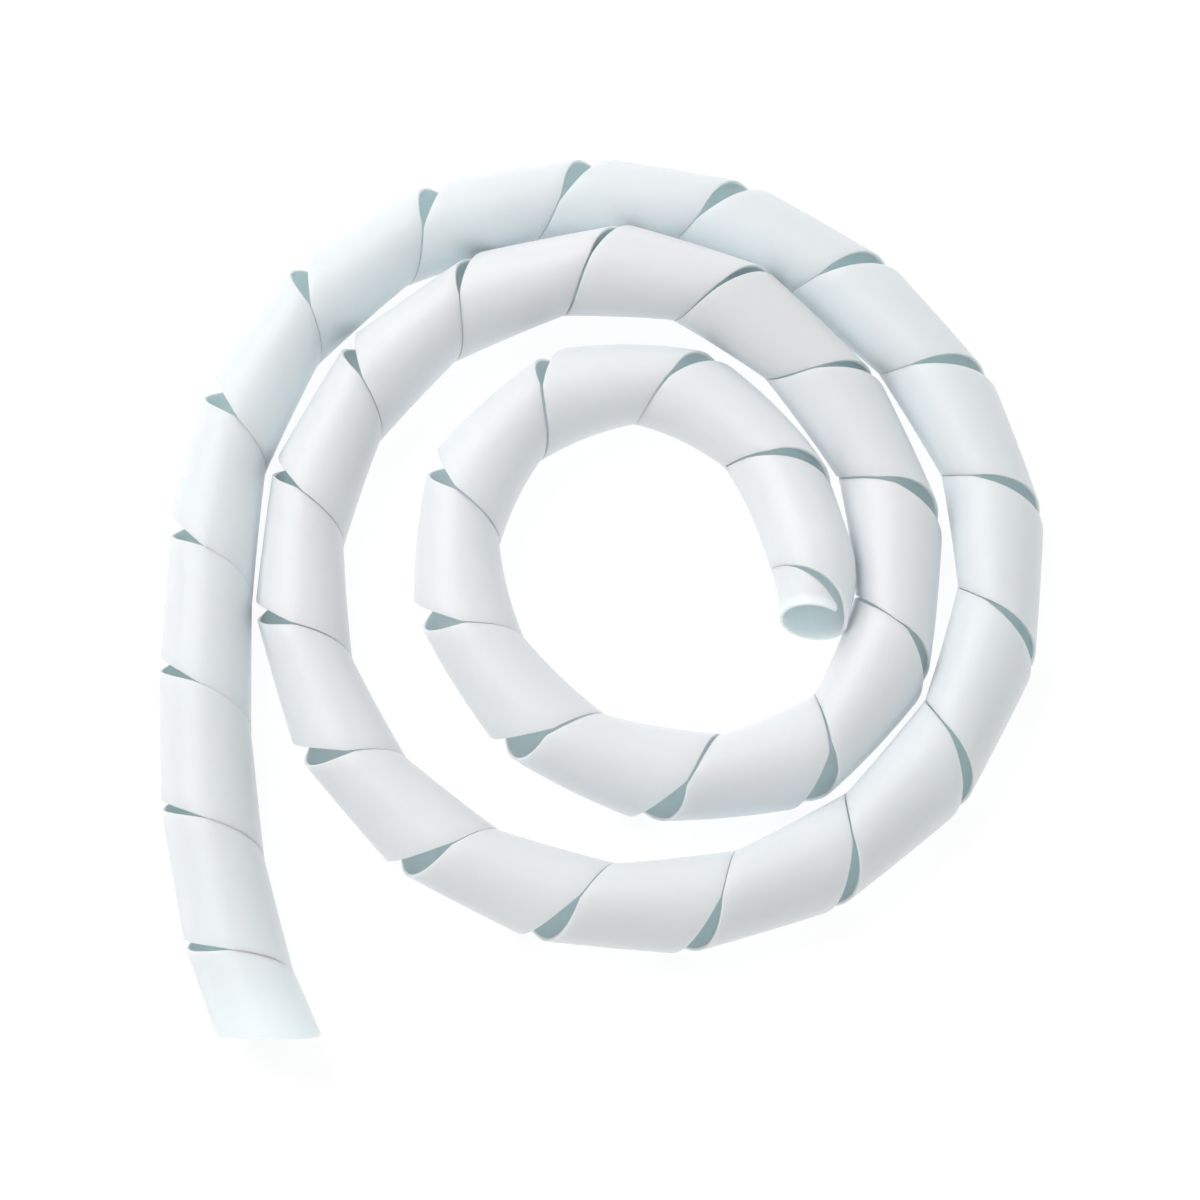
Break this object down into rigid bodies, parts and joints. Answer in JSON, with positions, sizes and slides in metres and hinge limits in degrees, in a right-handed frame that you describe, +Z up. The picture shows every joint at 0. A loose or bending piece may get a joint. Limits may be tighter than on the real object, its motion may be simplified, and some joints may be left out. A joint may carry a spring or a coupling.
{
  "type": "spiral cable wrap",
  "caption": "Milky white plastic spiral wrap for bundling cables, lying in a loose flat coil with a free straight tail.",
  "frame": {"origin": "on the floor, under the middle of the coil's overall box", "axes": "+Z up from the floor that the coil lies on, -Y the way the free tail points"},
  "size_m": [0.1538, 0.1642, 0.0206],
  "materials": {
    "white_polyethylene": "satin"
  },
  "bodies": {
    "root": {"spiral_wrap": "white_polyethylene"}
  },
  "joints": []
}
